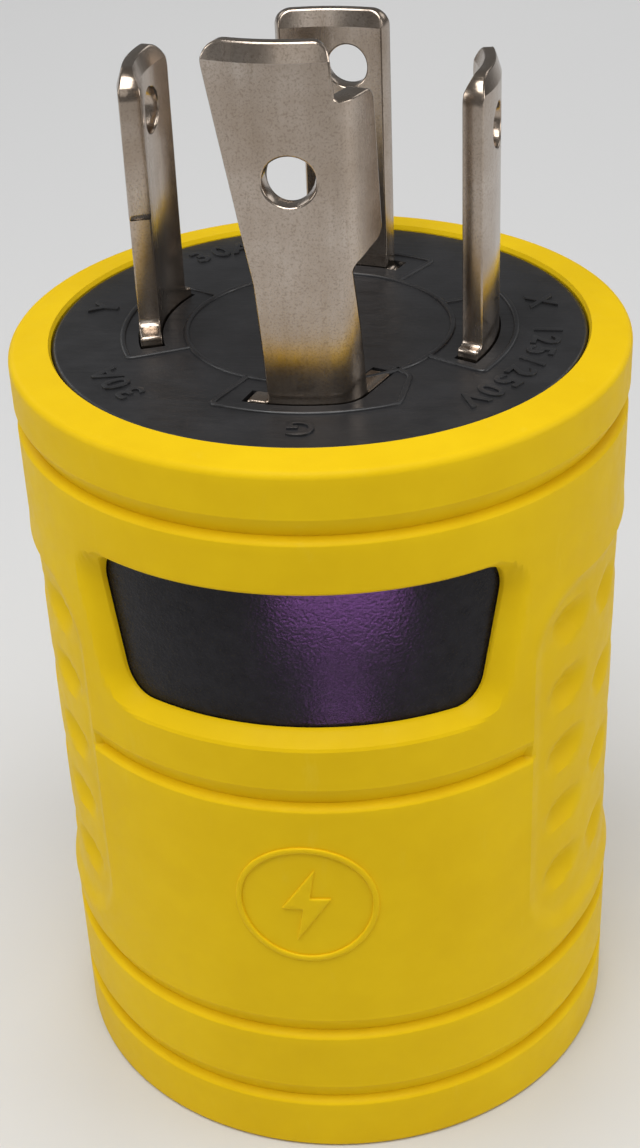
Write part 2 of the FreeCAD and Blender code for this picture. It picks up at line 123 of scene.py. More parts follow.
def ease(x):
    x = np.clip(x, 0.0, 1.0)
    return x * x * (3 - 2 * x)


def polar(radius, azimuth):
    angle = math.radians(azimuth)
    return Vector((radius * math.cos(angle), radius * math.sin(angle)))


def corner_arcs(corners, steps):
    """For each (x, z, radius) corner of a closed outline, the points that round it off."""
    arcs = []
    for index, (x, z, radius) in enumerate(corners):
        here = Vector((x, z))
        if not radius:
            arcs.append([here])
            continue
        before = (Vector(corners[index - 1][:2]) - here).normalized()
        after = (Vector(corners[(index + 1) % len(corners)][:2]) - here).normalized()
        half = before.angle(after) / 2
        centre = here + (before + after).normalized() * (radius / math.sin(half))
        start = here + before * (radius / math.tan(half)) - centre
        end = here + after * (radius / math.tan(half)) - centre
        share = -start.angle_signed(end) / steps
        arcs.append([centre + Matrix.Rotation(share * step, 2) @ start for step in range(steps + 1)])
    return arcs


def apply_modifiers(piece):
    """The piece's evaluated mesh takes the place of its modifiers."""
    view = bpy.context.evaluated_depsgraph_get()
    mesh = bpy.data.meshes.new_from_object(piece.evaluated_get(view))
    piece.modifiers.clear()
    piece.data = mesh


# --- node material helpers ----------------------------------------------------------
class Shader:
    """A principled material and short calls that add nodes to it."""

    def __init__(self, name, **sockets):
        self.material = bpy.data.materials.new(name)
        self.material.use_nodes = True
        self.tree = self.material.node_tree
        self.surface = self.tree.nodes["Principled BSDF"]
        self.place = self.add("ShaderNodeTexCoord").outputs["Object"]
        for socket, value in sockets.items():
            self.surface.inputs[socket.replace("_", " ")].default_value = value

    def add(self, kind, **settings):
        node = self.tree.nodes.new(kind)
        for key, value in settings.items():
            setattr(node, key, value)
        return node

    def link(self, source, target):
        self.tree.links.new(source, target)

    def stretched(self, scale):
        node = self.add("ShaderNodeMapping")
        node.inputs["Scale"].default_value = scale
        self.link(self.place, node.inputs["Vector"])
        return node.outputs["Vector"]

    def noise(self, scale, detail=3.0, roughness=0.5, distortion=0.0, stretch=None):
        node = self.add("ShaderNodeTexNoise")
        self.link(self.stretched(stretch) if stretch else self.place, node.inputs["Vector"])
        node.inputs["Scale"].default_value = scale
        node.inputs["Detail"].default_value = detail
        node.inputs["Roughness"].default_value = roughness
        node.inputs["Distortion"].default_value = distortion
        return node.outputs["Fac"]

    def soft_cells(self, scale):
        node = self.add("ShaderNodeTexVoronoi", feature="SMOOTH_F1")
        self.link(self.place, node.inputs["Vector"])
        node.inputs["Scale"].default_value = scale
        return node.outputs["Distance"]

    def ramp(self, source, *stops):
        node = self.add("ShaderNodeValToRGB")
        elements = node.color_ramp.elements
        while len(elements) < len(stops):
            elements.new(0.5)
        for element, (position, colour) in zip(elements, stops):
            element.position = position
            element.color = (*colour, 1)
        self.link(source, node.inputs["Fac"])
        return node.outputs["Color"]

    def range(self, source, low, high, start=0.3, end=0.7):
        node = self.add("ShaderNodeMapRange")
        limits = (("From Min", start), ("From Max", end), ("To Min", low), ("To Max", high))
        for socket, value in limits:
            node.inputs[socket].default_value = value
        self.link(source, node.inputs["Value"])
        return node.outputs["Result"]

    def mix(self, factor, base, over):
        """The colour over laid on base as far as the factor says."""
        node = self.add("ShaderNodeMix", data_type="RGBA")
        factor_socket, base_socket, over_socket = (node.inputs[index] for index in (0, 6, 7))
        self.link(factor, factor_socket)
        self.link(base, base_socket)
        over_socket.default_value = (*over, 1)
        return node.outputs[2]

    def sum(self, first, second):
        node = self.add("ShaderNodeMath", operation="ADD")
        for source, socket in zip((first, second), node.inputs):
            self.link(source, socket)
        return node.outputs[0]

    def colour(self, source):
        self.link(source, self.surface.inputs["Base Color"])

    def rough(self, source):
        self.link(source, self.surface.inputs["Roughness"])

    def bumps(self, *layers):
        """Each layer is (height, strength, depth in millimetres), coarse to fine."""
        normal = None
        for height, strength, depth in layers:
            node = self.add("ShaderNodeBump")
            node.inputs["Strength"].default_value = strength
            node.inputs["Distance"].default_value = depth * MM
            self.link(height, node.inputs["Height"])
            if normal:
                self.link(normal, node.inputs["Normal"])
            normal = node.outputs["Normal"]
        self.link(normal, self.surface.inputs["Normal"])


def jacket_yellow():
    s = Shader("jacket_yellow", Specular_IOR_Level=0.07)
    cloud = s.noise(60, 4, 0.6)
    blotch = s.noise(260, 3, 0.55)
    base = s.ramp(cloud, (0.3, (0.83, 0.545, 0.006)), (0.7, (0.90, 0.61, 0.008)))
    base = s.mix(s.range(blotch, 0.0, 0.16), base, (0.72, 0.43, 0.006))
    scuffs = s.noise(420, 5, 0.7, stretch=(1, 1, 0.25))
    base = s.mix(s.range(scuffs, 0.0, 0.10, 0.62, 0.74), base, (0.97, 0.78, 0.12))
    s.colour(base)
    s.rough(s.range(s.noise(700, 4, 0.6), 0.40, 0.54))
    s.bumps((s.noise(150, 2), 0.25, 0.10), (s.noise(2600, 3, 0.6), 0.22, 0.03))
    return s.material


def core_black():
    s = Shader("core_black", Specular_IOR_Level=0.18)
    s.colour(s.ramp(s.noise(900, 3), (0.3, (0.006, 0.005, 0.007)), (0.7, (0.013, 0.012, 0.015))))
    pebble = s.soft_cells(3600)
    creases = s.noise(3000, 4, 0.6, 0.6)
    s.rough(s.range(creases, 0.21, 0.30))
    s.bumps((creases, 0.32, 0.07), (pebble, 0.36, 0.06))
    return s.material


def face_black():
    s = Shader("face_black", Specular_IOR_Level=0.65)
    s.colour(s.ramp(s.noise(300, 4), (0.3, (0.012, 0.012, 0.013)), (0.7, (0.022, 0.022, 0.024))))
    scratches = s.noise(240, 5, 0.65, 0.4, stretch=(1, 7, 1))
    s.rough(s.range(scratches, 0.30, 0.50, 0.35, 0.65))
    s.bumps((s.noise(90, 2), 0.2, 0.10), (s.noise(1500, 4, 0.6), 0.25, 0.03))
    return s.material


def blade_nickel():
    s = Shader("blade_nickel", Metallic=1.0, Specular_IOR_Level=0.5)
    streaks = s.noise(900, 5, 0.65, stretch=(1, 1, 0.06))
    stain = s.noise(170, 4, 0.6)
    speck = s.noise(5600, 2, 0.5)
    base = s.ramp(stain, (0.3, (0.40, 0.32, 0.25)), (0.7, (0.60, 0.52, 0.45)))
    base = s.mix(s.range(streaks, 0.0, 0.45), base, (0.42, 0.34, 0.27))
    base = s.mix(s.range(speck, 0.0, 0.45, 0.50, 0.68), base, (0.24, 0.18, 0.13))
    s.colour(base)
    s.rough(s.sum(s.range(streaks, 0.15, 0.25), s.range(stain, 0.0, 0.06)))
    s.bumps((s.noise(260, 3), 0.12, 0.06), (streaks, 0.16, 0.02), (speck, 0.12, 0.012))
    return s.material


def blade_edge():
    s = Shader("blade_edge", Metallic=1.0)
    streaks = s.noise(1400, 4, 0.6, stretch=(1, 1, 0.15))
    s.colour(s.ramp(streaks, (0.3, (0.42, 0.34, 0.26)), (0.7, (0.70, 0.63, 0.55))))
    s.rough(s.range(streaks, 0.30, 0.48))
    s.bumps((streaks, 0.3, 0.03))
    return s.material


def plain_metal(name, dark, light, rough_low, rough_high):
    s = Shader(name, Metallic=1.0)
    grain = s.noise(1100, 4, 0.6)
    s.colour(s.ramp(s.noise(220, 4), (0.3, dark), (0.7, light)))
    s.rough(s.range(grain, rough_low, rough_high))
    s.bumps((grain, 0.15, 0.02))
    return s.material


def plain_plastic(name, dark, light, rough_low, rough_high):
    s = Shader(name, Specular_IOR_Level=0.45)
    grain = s.noise(1500, 4, 0.6)
    s.colour(s.ramp(s.noise(200, 3), (0.3, dark), (0.7, light)))
    s.rough(s.range(grain, rough_low, rough_high))
    s.bumps((grain, 0.25, 0.03))
    return s.material


materials = {
    "jacket_yellow": jacket_yellow(),
    "core_black": core_black(),
    "face_black": face_black(),
    "blade_nickel": blade_nickel(),
}
for finish, name, dark, light, rough_low, rough_high in (
        (plain_metal, "contact_brass", (0.55, 0.36, 0.13), (0.78, 0.58, 0.26), 0.22, 0.36),
        (plain_metal, "screw_steel", (0.42, 0.42, 0.43), (0.64, 0.63, 0.61), 0.24, 0.38),
        (plain_metal, "lug_tin", (0.58, 0.58, 0.58), (0.78, 0.78, 0.77), 0.26, 0.40),
        (plain_metal, "wire_copper", (0.58, 0.24, 0.12), (0.82, 0.42, 0.25), 0.22, 0.34),
        (plain_plastic, "carrier_grey", (0.020, 0.020, 0.022), (0.045, 0.045, 0.048), 0.4, 0.6),
        (plain_plastic, "insulation_black", (0.01, 0.01, 0.01), (0.02, 0.02, 0.02), 0.35, 0.5),
        (plain_plastic, "insulation_white", (0.6, 0.6, 0.57), (0.75, 0.75, 0.72), 0.35, 0.5),
        (plain_plastic, "insulation_green", (0.01, 0.10, 0.025), (0.02, 0.18, 0.05), 0.35, 0.5)):
    materials[name] = finish(name, dark, light, rough_low, rough_high)
edge_material = blade_edge()

for entry in frame["record"]["subparts"]:
    cad_mesh = frame["nodes"][entry["node"]].data
    cad_mesh.materials.clear()
    cad_mesh.materials.append(materials[entry["material_slot"]])


# --- jacket -------------------------------------------------------------------------
columns = 360                             # one to a degree
window_columns = 45                       # half the width of the patch that holds the window
patch_low, patch_high = 46.4, 66.4        # and its heights
mean_radius = rim_radius - 0.2
top_round, bottom_round = 0.7, 0.5
rim_slope = 0.35                          # how far the rim falls toward its outer edge
round_steps = 6
ring_step = 0.10                          # the body is this much slimmer than the top band
ring_grooves = ((68.93, 0.90), (14.80, 0.90), (6.15, 0.85))     # height of the deepest line, depth
front_groove = (41.90, 0.90)
groove_flank, groove_lip = 1.95, 0.65
groove_half_width = 46.5                  # degrees from the front
grip_edge, grip_low, grip_high = 47.5, 19.6, 57.5
grip_corner, grip_depth = 6.0, 0.42
grip_ridge = 0.10                         # the low bead round a grip
dimple_length, dimple_height, dimple_depth = 3.5, 2.15, 1.05     # half sizes, and depth
dimple_slant = 0.10
# The window's corners: degrees from the front, height, radius.
window_corners = ((-42.7, 63.6, 3.0), (42.0, 63.6, 3.0), (35.7, 49.3, 3.2), (-36.5, 49.3, 3.2))
window_edge_drop = 0.10
bevel_depths, bevel_widths = (0.30, 1.55, 1.45), (0.40, 1.30, 1.90)     # top, bottom, sides
bore_chamfer_top, bore_chamfer_bottom = 0.2, 0.35
patch_shares = (0.0, 0.025, 0.07, 0.13, 0.20, 0.28, 0.37, 0.47, 0.58, 0.70, 0.84)


def groove(z, level, depth):
    """A long sloped flank above the deepest line and a soft rounded lip below it."""
    above, below = (z - level) / groove_flank, (level - z) / groove_lip
    flank = np.where((above >= 0) & (above < 1), 1 - above, 0)
    lip = np.where((below > 0) & (below < 1), (1 - below) ** 2.4, 0)
    return depth * (flank + lip)


def grip_places():
    """Each dimple's place, as degrees from the front and height."""
    columns_of_one_side = (                   # degrees, lowest height, pitch, count
        (57.4, 25.7, 7.0, 5), (74.0, 25.6, 9.1, 4), (90.0, 28.0, 8.1, 4),
        (106.0, 25.6, 9.1, 4), (122.6, 25.7, 7.0, 5),
    )
    for turn, first, pitch, count in columns_of_one_side:
        for step in range(count):
            for hand in (-1, 1):
                yield hand * turn, first + pitch * step


def grip_field(turn, z):
    """How far the side grips sink below the jacket's round surface, in millimetres."""
    side = np.abs(turn)
    across = np.abs(side - 90) * math.radians(1) * mean_radius
    half_width = (90 - grip_edge) * math.radians(1) * mean_radius
    middle, half_height = (grip_low + grip_high) / 2, (grip_high - grip_low) / 2
    over_x = across - half_width + grip_corner
    over_z = np.abs(z - middle) - half_height + grip_corner
    outside = np.hypot(np.maximum(over_x, 0), np.maximum(over_z, 0))
    distance = outside + np.minimum(np.maximum(over_x, over_z), 0) - grip_corner
    sink = grip_depth * ease(0.5 - distance / 1.8)
    sink -= grip_ridge * np.exp(-((distance - 0.9) / 0.7) ** 2)
    for dimple_turn, level in grip_places():
        x = (turn - dimple_turn) * math.radians(1) * mean_radius
        hand = math.copysign(1, dimple_turn) * (1 if abs(dimple_turn) < 90 else -1)
        reach = np.hypot(x / dimple_length, (z - level - x * dimple_slant * hand) / dimple_height)
        sink += dimple_depth * np.maximum(1 - reach ** 2, 0) ** 1.6
    return sink


def window_outline():
    """The window's corner arcs on the unrolled jacket, from the top left, clockwise."""
    degree = math.radians(1) * mean_radius
    return corner_arcs([(turn * degree, z, radius) for turn, z, radius in window_corners], 16)


def dense_side(arcs, side, count):
    """Count + 1 evenly spaced points from the middle of one rounded corner to the next."""
    path = arcs[side][8:] + arcs[(side + 1) % 4][:9]
    path = np.array([tuple(point) for point in path])
    length = np.concatenate(([0], np.cumsum(np.hypot(*np.diff(path, axis=0).T))))
    wanted = np.linspace(0, length[-1], count + 1)
    return np.stack([np.interp(wanted, length, path[:, axis]) for axis in (0, 1)], axis=1)


def window_field(x, z, outline):
    """How far the bevel round the window sinks, from the distance to the outline."""
    points = np.stack([x, z], axis=1)
    best = np.full(len(points), np.inf)
    lean = np.zeros((len(points), 2))
    for start, run in zip(outline, np.roll(outline, -1, axis=0) - outline):
        share = np.clip(((points - start) @ run) / (run @ run), 0, 1)
        distance = np.hypot(*(points - (start + share[:, None] * run)).T)
        nearer = distance < best
        best[nearer] = distance[nearer]
        lean[nearer] = np.array([-run[1], run[0]]) / np.hypot(*run)
    upright = lean[:, 1]
    facing = np.stack([np.maximum(upright, 0), np.maximum(-upright, 0), lean[:, 0]], axis=1) ** 2
    depth, width = facing @ np.array(bevel_depths), facing @ np.array(bevel_widths)
    reach = np.clip(best / width, 0, 1)
    return depth * (1 - reach) ** 1.5 * (1 + 0.35 * reach)


def jacket_levels():
    """(height, inset) of each row of the jacket's outside, from the bottom to the top."""
    rows = []
    for step in range(round_steps, 0, -1):
        angle = math.radians(90 * step / round_steps)
        rows.append((bottom_round * (1 - math.sin(angle)), bottom_round * (1 - math.cos(angle))))
    marks = [bottom_round]
    for level in sorted([g[0] for g in ring_grooves] + [front_groove[0]]):
        marks += [level - groove_lip, level, level + groove_flank]
    rim_top = body_height - rim_slope
    marks += [patch_low, patch_high, rim_top - top_round]
    marks = sorted(marks)
    for low, high in zip(marks[:-1], marks[1:]):
        count = 5 if high - low < 1.3 else max(1, round((high - low) / 0.62))
        rows += [(z, 0.0) for z in np.linspace(low, high, count, endpoint=False)]
    for step in range(round_steps + 1):
        angle = math.radians(90 * step / round_steps)
        level = rim_top - top_round * (1 - math.sin(angle))
        rows.append((level, top_round * (1 - math.cos(angle))))
    return rows


def outer_radius(turn, z):
    """The jacket's outside, before the window's bevel and the rounded ends."""
    radius = base_radius + (rim_radius - base_radius) * z / body_height
    radius = radius - ring_step * (z < ring_grooves[0][0] + groove_flank / 2)
    for level, depth in ring_grooves:
        radius = radius - groove(z, level, depth)
    fade = ease((groove_half_width - np.minimum(np.abs(turn), 180 - np.abs(turn))) / 1.5)
    radius = radius - groove(z, *front_groove) * fade
    return radius - grip_field(turn, z)


def inner_radius(z):
    """The jacket's bore: wide along the core, narrower at both lips."""
    lips = (z > core_top + 0.2) | (z < core_bottom - 0.2)
    return np.where(lips, lip_bore, bore_radius)


def build_jacket():
    rows = jacket_levels()
    heights = np.array([row[0] for row in rows])
    insets = np.array([row[1] for row in rows])
    first = int(np.argmin(np.abs(heights - patch_low)))
    last = int(np.argmin(np.abs(heights - patch_high)))
    turns = np.arange(columns) * 360 / columns - 180
    middle = columns // 2
    left, right = middle - window_columns, middle + window_columns

    grid_turn, grid_z = np.meshgrid(turns, heights)
    grid_index = np.full(grid_turn.shape, -1)
    keep = np.ones(grid_turn.shape, bool)
    keep[first + 1:last, left + 1:right] = False
    grid_index[keep] = np.arange(keep.sum())
    turn, z = grid_turn[keep], grid_z[keep]
    inset = np.repeat(insets[:, None], columns, axis=1)[keep]

    faces = []
    for row in range(len(rows) - 1):
        for column in range(columns):
            if first <= row < last and left <= column < right:
                continue
            across = (column + 1) % columns
            faces.append((grid_index[row, column], grid_index[row, across],
                          grid_index[row + 1, across], grid_index[row + 1, column]))

    # The patch round the window: loops that pass from the outline to the grid's opening.
    opening = [(last, column) for column in range(left, right)]
    opening += [(row, right) for row in range(last, first, -1)]
    opening += [(first, column) for column in range(right, left, -1)]
    opening += [(row, left) for row in range(first, last)]
    opening_index = np.array([grid_index[place] for place in opening])
    wide, tall = right - left, last - first
    arcs = window_outline()
    outline = np.concatenate([dense_side(arcs, side, count)[:-1]
                              for side, count in enumerate((wide, tall, wide, tall))])
    edge = np.array([(math.radians(turns[column]) * mean_radius, heights[row])
                     for row, column in opening])
    base = len(turn)
    around = len(outline)
    for share in patch_shares:
        loop = outline * (1 - share) + edge * share
        turn = np.concatenate([turn, np.degrees(loop[:, 0] / mean_radius)])
        z = np.concatenate([z, loop[:, 1]])
        inset = np.concatenate([inset, np.zeros(around)])
    loops = [base + np.arange(around) + around * step for step in range(len(patch_shares))]
    loops.append(opening_index)
    for inner, outer in zip(loops[:-1], loops[1:]):
        following_inner, following_outer = np.roll(inner, -1), np.roll(outer, -1)
        faces += list(zip(inner, outer, following_outer, following_inner))

    radius = outer_radius(turn, z) - inset
    near = (np.abs(turn) < window_columns) & (z > patch_low) & (z < patch_high)
    radius[near] -= window_field(np.radians(turn[near]) * mean_radius, z[near], outline)
    radius[loops[0]] -= window_edge_drop
    bore = inner_radius(z)
    bore_z = np.where(z > body_height - rim_slope - 0.01, body_height, z)
    bore[bore_z == body_height] += bore_chamfer_top
    bore[z < 0.05] += bore_chamfer_bottom

    def ring(distance, height):
        angle = np.radians(turn) + FRONT
        return np.stack([distance * np.cos(angle), distance * np.sin(angle), height], axis=1)

    count = len(turn)
    points = np.concatenate([ring(radius, z), ring(bore, bore_z)])
    inside = [tuple(index + count for index in reversed(face)) for face in faces]
    seams = []
    for row, flip in ((0, True), (len(rows) - 1, False)):
        rim = grid_index[row]
        for a, b in zip(rim, np.roll(rim, -1)):
            seam = (a, b, b + count, a + count)
            seams.append(seam[::-1] if flip else seam)
    for a, b in zip(loops[0], np.roll(loops[0], -1)):
        seams.append((a, b, b + count, a + count))
    everything = [tuple(int(index) for index in face) for face in faces + inside + seams]
    jacket = add_mesh("jacket_shell", points, everything, "jacket_yellow", crease=20)
    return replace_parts(jacket, "outer_jacket")


build_jacket()


# --- blades: flat stamped outlines, rolled and folded to shape ------------------------
blade_circle, blade_thickness = 15.2, 1.9
blade_half = blade_thickness / 2
blade_root = corner_mm("blade_ground", 0).z
blade_middle, blade_end, hook_end = -7.35, 9.5, 17.5      # azimuths from the facing direction
ground_tab_azimuth = -3.0
hook_level, hole_level, tip_level = face_top + 11.4, face_top + 19.3, face_top + 24.4
tip_length, tip_half = 1.5, 0.45
tab_inner, tab_outer, tab_half_width = 6.8, blade_circle, 3.7
screw_hole_place, screw_hole_radius = 10.0, 2.1
plug_hole_radius, ground_hole_radius = 1.95, 2.07
stamped_round = 0.16
bend_start, bend_turn, bend_radius = 11.5, 54.5, 2.0
bend_from = math.radians(bend_start) * blade_circle
bend_to = bend_from + math.radians(bend_turn) * bend_radius


def arc_length(azimuth):
    """Distance along the blade's middle surface for an azimuth from its facing direction."""
    return math.radians(azimuth) * blade_circle


def rounded_outline(corners):
    return [place for arc in corner_arcs(corners, 10) for place in arc]


def round_hole(x, z, radius):
    return [Vector((x + radius * math.cos(a), z + radius * math.sin(a)))
            for a in np.linspace(0, 2 * math.pi, 48, endpoint=False)]


def stamped_plate(outline, hole, half, rounding):
    """A filled plate with one hole and rounded edges, lying flat, as an editable mesh."""
    curve = bpy.data.curves.new("plate", "CURVE")
    curve.dimensions = "2D"
    curve.fill_mode = "BOTH"
    curve.extrude = half - rounding
    curve.bevel_depth = rounding
    curve.bevel_resolution = 1
    curve.offset = -rounding
    for loop in (outline, hole):
        spline = curve.splines.new("POLY")
        spline.points.add(len(loop) - 1)
        for point, place in zip(spline.points, loop):
            point.co = (place.x, place.y, 0, 1)
        spline.use_cyclic_u = True
    mesh = curve_mesh(curve)
    work = bmesh.new()
    work.from_mesh(mesh)
    bpy.data.meshes.remove(mesh)
    bmesh.ops.remove_doubles(work, verts=work.verts, dist=0.0005)
    for face in work.faces:
        face.smooth = True
        face.material_index = 0
    return work


def slice_plate(work, axis, levels):
    """Cuts across the plate at these levels, so that it can bend there."""
    for level in levels:
        place, normal = [0, 0, 0], [0, 0, 0]
        place[axis], normal[axis] = level, 1
        everything = list(work.verts) + list(work.edges) + list(work.faces)
        bmesh.ops.bisect_plane(work, geom=everything, plane_co=place, plane_no=normal, dist=1e-4)


def crease_plate(work, neck):
    """Edge faces get the cut-metal material; flat faces are parted from them and at the neck."""
    work.normal_update()
    flat = {face: abs(face.normal.z) > 0.99 for face in work.faces}
    for face, is_flat in flat.items():
        face.material_index = 0 if is_flat else 1
    for edge in work.edges:
        sides = [flat[face] for face in edge.link_faces]
        at_neck = all(abs(vertex.co.y - neck) < 1e-3 for vertex in edge.verts)
        edge.smooth = len(sides) == 2 and sides[0] == sides[1] and not (at_neck and sides[0])


def arc_place(along, out):
    """Rolled to the blade circle."""
    angle = along / blade_circle
    return (blade_circle + out) * math.cos(angle), (blade_circle + out) * math.sin(angle)


def ground_place(along, out):
    """Rolled to the blade circle, then bent inward to a straight flap."""
    if along <= bend_from:
        return arc_place(along, out)
    angle = math.radians(bend_start) + (min(along, bend_to) - bend_from) / bend_radius
    centre = polar(blade_circle - bend_radius, bend_start)
    x = centre.x + (bend_radius + out) * math.cos(angle) - max(0, along - bend_to) * math.sin(angle)
    y = centre.y + (bend_radius + out) * math.sin(angle) + max(0, along - bend_to) * math.cos(angle)
    return x, y


def build_blade(node, facing, outline, hole, tab_azimuth, bend):
    """One blade with a thinned tip, and the tab below the face that its screw goes through."""
    neck = max(place.y for place in outline) - tip_length
    work = stamped_plate(outline, hole, blade_half, stamped_round)
    left, right = min(place.x for place in outline), max(place.x for place in outline)
    slice_plate(work, 0, np.arange(left + 0.15, right, 0.3))
    slice_plate(work, 1, [neck])
    crease_plate(work, neck)
    turn = Matrix.Rotation(math.radians(facing), 4, "Z")
    for vertex in work.verts:
        along, level, out = vertex.co
        out *= 1 - (1 - tip_half / blade_half) * min(1.0, max(0.0, (level - neck) / tip_length))
        x, y = bend(along, out)
        vertex.co = turn @ Vector((x, y, level))
    tab_corners = [(tab_inner, -tab_half_width, 0.6), (tab_inner, tab_half_width, 0.6),
                   (tab_outer, tab_half_width, 0), (tab_outer, -tab_half_width, 0)]
    screw_hole = round_hole(screw_hole_place, 0.0, screw_hole_radius)
    tab = stamped_plate(rounded_outline(tab_corners), screw_hole, blade_half, stamped_round)
    crease_plate(tab, math.inf)
    tab.transform(Matrix.Rotation(math.radians(facing + tab_azimuth), 4, "Z")
                  @ Matrix.Translation((0, 0, blade_root + blade_half)))
    spare = bpy.data.meshes.new("tab")
    tab.to_mesh(spare)
    tab.free()
    work.from_mesh(spare)
    bpy.data.meshes.remove(spare)
    bmesh.ops.recalc_face_normals(work, faces=work.faces)
    name = node + "_stamped"
    piece = add_piece(name, work_mesh(name, work), "blade_nickel")
    piece.data.materials.append(edge_material)
    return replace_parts(piece, node)


def plug_outline(start, spread, corner, shoulder):
    """A line or neutral blade: hook on its right, corners rounded at the tip."""
    left, right, hook = arc_length(start), arc_length(blade_end), arc_length(hook_end)
    foot_left, foot_right = arc_length(start - spread), arc_length(hook_end + 1.0)
    return rounded_outline([
        (foot_left, blade_root, 0.5), (foot_left, shoulder, 0.35), (left, shoulder, 0.45),
        (left, tip_level, corner), (hook, tip_level, corner),
        (hook, hook_level, 0.9), (right, hook_level, 0.3),
        (right, shoulder, 0.8), (foot_right, shoulder, 0.35), (foot_right, blade_root, 0.5),
    ])


def ground_outline():
    """The ground blade: a slanted left side, and a lower fold with a hook on its right."""
    top, fold, hook = face_top + 30.2, face_top + 25.6, hook_level - 1.0
    foot = face_top + 0.15
    return rounded_outline([
        (arc_length(-16.5), blade_root, 0.5), (arc_length(-16.5), foot, 0.4),
        (arc_length(-9.4), foot, 0.3), (arc_length(-12.0), hook, 0), (-4.45, face_top + 17.5, 6.0),
        (-6.85, top, 1.7), (bend_from + 0.15, top, 1.1), (bend_from + 0.45, fold, 0.3),
        (bend_to + 2.8, fold, 1.2), (bend_to + 3.75, hook + 2.6, 1.2), (bend_to - 0.7, hook + 1.5, 0.8),
        (bend_to + 0.5, foot, 0.3), (bend_to + 4.6, foot, 0.4), (bend_to + 4.6, blade_root, 0.5),
    ])


def build_blades():
    # Node, facing, start azimuth, foot's spread, tip's corner radius, shoulder's height.
    plug_blades = (("blade_line_x", 0, -23.6, 3.6, 2.4, face_top + 0.9),
                   ("blade_neutral", 90, -20.9, 3.0, 1.4, face_top - 0.4),
                   ("blade_line_y", 180, -23.6, 3.6, 2.4, face_top + 0.9))
    for node, facing, start, spread, corner, shoulder in plug_blades:
        outline = plug_outline(start, spread, corner, shoulder)
        hole = round_hole(arc_length(blade_middle), hole_level, plug_hole_radius)
        build_blade(node, facing, outline, hole, blade_middle, arc_place)
    hole = round_hole(0, hole_level, ground_hole_radius)
    build_blade("blade_ground", -90, ground_outline(), hole, ground_tab_azimuth, ground_place)


build_blades()


# --- raised lines and marks on the plug face ----------------------------------------
line_width, line_height = 0.50, 0.20
medallion_radius = 12.0
slot_line_radius = 17.7
mark_radius = 20.6
mark_height, mark_pitch = 2.5, 2.25


def arc_points(radius, start, end, step=2.0):
    count = max(2, int(abs(end - start) / step) + 1)
    return [polar(radius, azimuth) for azimuth in np.linspace(start, end, count)]


def raised_line(path, closed=False):
    """Points and faces of a low rounded ridge along a path on the plug face."""
    half = line_width / 2
    section = ((-half, -0.05), (-half, line_height * 0.55), (-half * 0.5, line_height),
               (half * 0.5, line_height), (half, line_height * 0.55), (half, -0.05))
    points, faces = [], []
    total = len(path)
    for index, here in enumerate(path):
        before = path[index - 1] if index or closed else here
        after = path[(index + 1) % total] if index + 1 < total or closed else here
        run = (after - before).normalized()
        side = Vector((-run.y, run.x))
        points += [(*(here + side * across), face_top + up) for across, up in section]
    size = len(section)
    for index in range(total if closed else total - 1):
        following = (index + 1) % total
        for step in range(size):
            near, far = (index * size + step, index * size + (step + 1) % size)
            faces.append((near, following * size + step, following * size + (step + 1) % size, far))
    if not closed:
        faces.append(tuple(range(size)))
        faces.append(tuple(reversed(range((total - 1) * size, total * size))))
    return points, faces


def slot_line(facing, start, end):
    """A line that leaves the medallion, runs outside a slot and comes back."""
    path = [polar(medallion_radius + 0.1, facing + start)]
    path += arc_points(slot_line_radius, facing + start, facing + end)
    path.append(polar(medallion_radius + 0.1, facing + end))
    return smoothed_corners(path)


def smoothed_corners(path, reach=0.8):
    """The same path with its sharp corners cut back into short curves."""
    result = [path[0]]
    for before, here, after in zip(path[:-2], path[1:-1], path[2:]):
        incoming, outgoing = (here - before), (after - here)
        if incoming.angle(outgoing) < math.radians(25):
            result.append(here)
            continue
        start = here - incoming.normalized() * min(reach, incoming.length / 2)
        end = here + outgoing.normalized() * min(reach, outgoing.length / 2)
        result += [start.lerp(here, t).lerp(here.lerp(end, t), t) for t in np.linspace(0, 1, 6)]
    result.append(path[-1])
    return result


def build_face_lines():
    points, faces = [], []
    ground = [polar(medallion_radius + 0.1, -115), *arc_points(slot_line_radius, -115, -62),
              polar(13.6, -49), polar(11.6, -50)]
    paths = [(arc_points(medallion_radius, 0, 358), True), (smoothed_corners(ground), False)]
    paths += [(slot_line(facing, -32, 25), False) for facing in (0, 90, 180)]
    for path, closed in paths:
        more_points, more_faces = raised_line(path, closed)
        faces += [tuple(index + len(points) for index in face) for face in more_faces]
        points += more_points
    return add_mesh("face_lines", points, faces, "face_black", crease=60)


def letter_mesh(text, height):
    """A filled, slightly rounded mesh of a word, one millimetre units, centred on its middle."""
    curve = bpy.data.curves.new("letters", "FONT")
    curve.body = text
    curve.size = height / 0.72
    curve.align_x = "CENTER"
    curve.extrude = 0.12
    curve.offset = 0.045
    curve.bevel_depth = 0.04
    curve.bevel_resolution = 1
    curve.resolution_u = 6
    return curve_mesh(curve)


